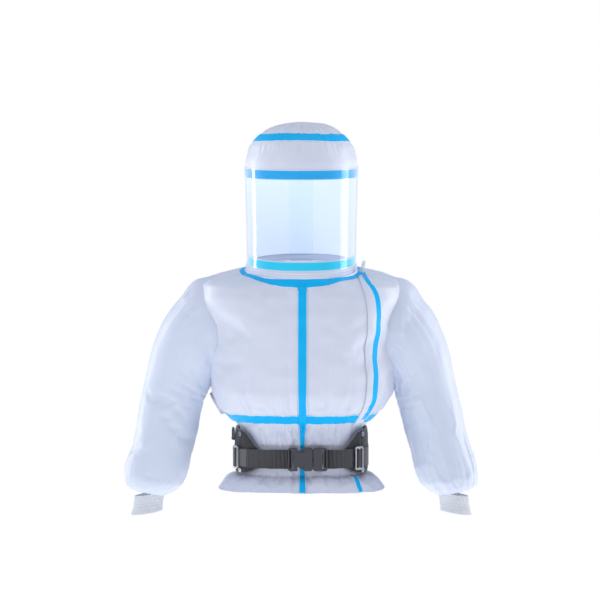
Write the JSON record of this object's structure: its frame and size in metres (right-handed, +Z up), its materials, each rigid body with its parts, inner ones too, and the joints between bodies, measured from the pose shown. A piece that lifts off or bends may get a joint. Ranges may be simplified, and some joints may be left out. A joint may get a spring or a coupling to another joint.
{
  "type": "powered air respirator",
  "caption": "Inflated hooded half suit with a clear wrap visor, taped seams and a padded waist belt whose blower feeds filtered air to the hood by a hose.",
  "frame": {"origin": "middle of the waist ring that the belt closes, at the belt's mid height", "axes": "+Z up, the wearer faces -Y, +X is the wearer's left"},
  "size_m": [0.76, 0.38, 0.8445],
  "materials": {
    "white_laminate": "smooth laminated nonwoven, soft sheen",
    "blue_tape": "heat-sealed seam tape, satin",
    "clear_film": "clear flexible film",
    "white_knit": "soft knitted elastic",
    "black_webbing": "woven polyester webbing",
    "black_pad": "spacer mesh over foam",
    "black_plastic": "fine moulded texture",
    "grey_plastic": "fine moulded texture",
    "white_plastic": "satin moulded",
    "blue_plastic": "satin moulded",
    "steel": "satin",
    "zip_tape": "woven zip tape and coil",
    "soft_rubber": "moulded",
    "white_rubber": "moulded silicone",
    "filter_paper": "pleated glass fibre paper",
    "circuit": "solder mask",
    "copper": "enamelled wire",
    "light_lens": "translucent lens",
    "hose_plastic": "corrugated, satin"
  },
  "bodies": {
    "suit": {"air_hose": "hose_plastic", "belt_hanger": "black_plastic", "belt_pad": "black_pad", "belt_webbing": "black_webbing", "blower_case": "black_plastic", "blower_cover": "grey_plastic", "blower_screws": "steel", "bodice": "white_laminate", "buckle_plug": "black_plastic", "buckle_socket": "black_plastic", "case_gasket": "soft_rubber", "centre_tape": "blue_tape", "control_board": "circuit", "elastic_cuffs": "white_knit", "fan_scroll": "black_plastic", "filter_canister": "white_plastic", "filter_media": "filter_paper", "flap_tape": "blue_tape", "front_flap": "white_laminate", "hood_crown": "white_laminate", "hood_duct": "white_laminate", "hood_tapes": "blue_tape", "hood_wall": "white_laminate", "hose_fittings": "black_plastic", "hose_keepers": "white_laminate", "inlet_elbow": "white_plastic", "inlet_flange": "white_plastic", "motor_bearings": "steel", "motor_can": "steel", "motor_winding": "copper", "neck_collar": "white_laminate", "neck_tape": "blue_tape", "outlet_spigot": "black_plastic", "pad_eyelets": "steel", "sleeve_left": "white_laminate", "sleeve_right": "white_laminate", "status_light": "light_lens", "valve_caps": "white_plastic", "valve_seats": "white_plastic", "visor_film": "clear_film", "waist_skirt": "white_laminate", "waist_tape": "blue_tape", "webbing_slides": "steel", "zip_chain": "zip_tape", "zip_slider": "white_plastic"},
    "fan": {"impeller": "blue_plastic", "motor_shaft": "steel"},
    "filter_cover": {"filter_cap": "grey_plastic"},
    "battery": {"battery_pack": "black_plastic"},
    "latch": {"battery_latch": "blue_plastic"},
    "power_key": {"power_button": "blue_plastic"},
    "flow_key": {"flow_button": "blue_plastic"},
    "prong_upper": {"upper_prong": "black_plastic"},
    "prong_lower": {"lower_prong": "black_plastic"},
    "pull_tab": {"zip_pull": "white_plastic"},
    "side_flap": {"side_valve_disc": "white_rubber"},
    "back_flap": {"back_valve_disc": "white_rubber"},
    "nut_lower": {"lower_hose_nut": "grey_plastic"},
    "nut_upper": {"upper_hose_nut": "grey_plastic"},
    "ring": {"side_ring": "black_plastic"}
  },
  "joints": [
    {"name": "fan_spin", "type": "hinge", "parent": "suit", "child": "fan", "pos_m": [-0.032, 0.16, -0.002], "axis": [0, 1, 0], "continuous": true},
    {"name": "filter_cap_turn", "type": "hinge", "parent": "suit", "child": "filter_cover", "pos_m": [-0.032, 0.21, -0.002], "axis": [0, 1, 0], "range_deg": [0, 45]},
    {"name": "battery_slide", "type": "slide", "parent": "suit", "child": "battery", "axis": [0, 0, -1], "range_m": [0, 0.048]},
    {"name": "battery_latch_slide", "type": "slide", "parent": "suit", "child": "latch", "axis": [0, 0, 1], "range_m": [0, 0.005], "stiffness_N_per_m": 250, "springref_m": -0.002},
    {"name": "power_button_press", "type": "slide", "parent": "suit", "child": "power_key", "axis": [0, -1, 0], "range_m": [0, 0.0015], "stiffness_N_per_m": 500, "springref_m": -0.001},
    {"name": "flow_button_press", "type": "slide", "parent": "suit", "child": "flow_key", "axis": [0, -1, 0], "range_m": [0, 0.0015], "stiffness_N_per_m": 500, "springref_m": -0.001},
    {"name": "upper_prong_press", "type": "hinge", "parent": "suit", "child": "prong_upper", "pos_m": [0.0243, -0.117, 0.00775], "axis": [0, -1, 0], "range_deg": [0, 8], "stiffness_Nm_per_rad": 0.8, "springref_deg": -1.15},
    {"name": "lower_prong_press", "type": "hinge", "parent": "suit", "child": "prong_lower", "pos_m": [0.0243, -0.117, -0.00775], "axis": [0, 1, 0], "range_deg": [0, 8], "stiffness_Nm_per_rad": 0.8, "springref_deg": -1.15},
    {"name": "zip_pull_swing", "type": "hinge", "parent": "suit", "child": "pull_tab", "pos_m": [0.13107, -0.052, 0.40697], "axis": [0.9026, 0.3622, -0.2326], "range_deg": [-50, 50]},
    {"name": "side_valve_lift", "type": "slide", "parent": "suit", "child": "side_flap", "axis": [-0.8713, 0, -0.4907], "range_m": [0, 0.0025], "stiffness_N_per_m": 40, "springref_m": -0.001},
    {"name": "back_valve_lift", "type": "slide", "parent": "suit", "child": "back_flap", "axis": [0, 1, 0], "range_m": [0, 0.0025], "stiffness_N_per_m": 40, "springref_m": -0.001},
    {"name": "lower_nut_turn", "type": "hinge", "parent": "suit", "child": "nut_lower", "pos_m": [0.054, 0.163, 0.064], "axis": [0, 0, 1], "range_deg": [0, 90]},
    {"name": "upper_nut_turn", "type": "hinge", "parent": "suit", "child": "nut_upper", "pos_m": [0, 0.17, 0.413], "axis": [0, 0, 1], "range_deg": [0, 90]},
    {"name": "side_ring_swing", "type": "hinge", "parent": "suit", "child": "ring", "pos_m": [-0.14633, -0.03547, 0.038], "axis": [0.1392, -0.9903, 0], "range_deg": [0, 90]}
  ]
}
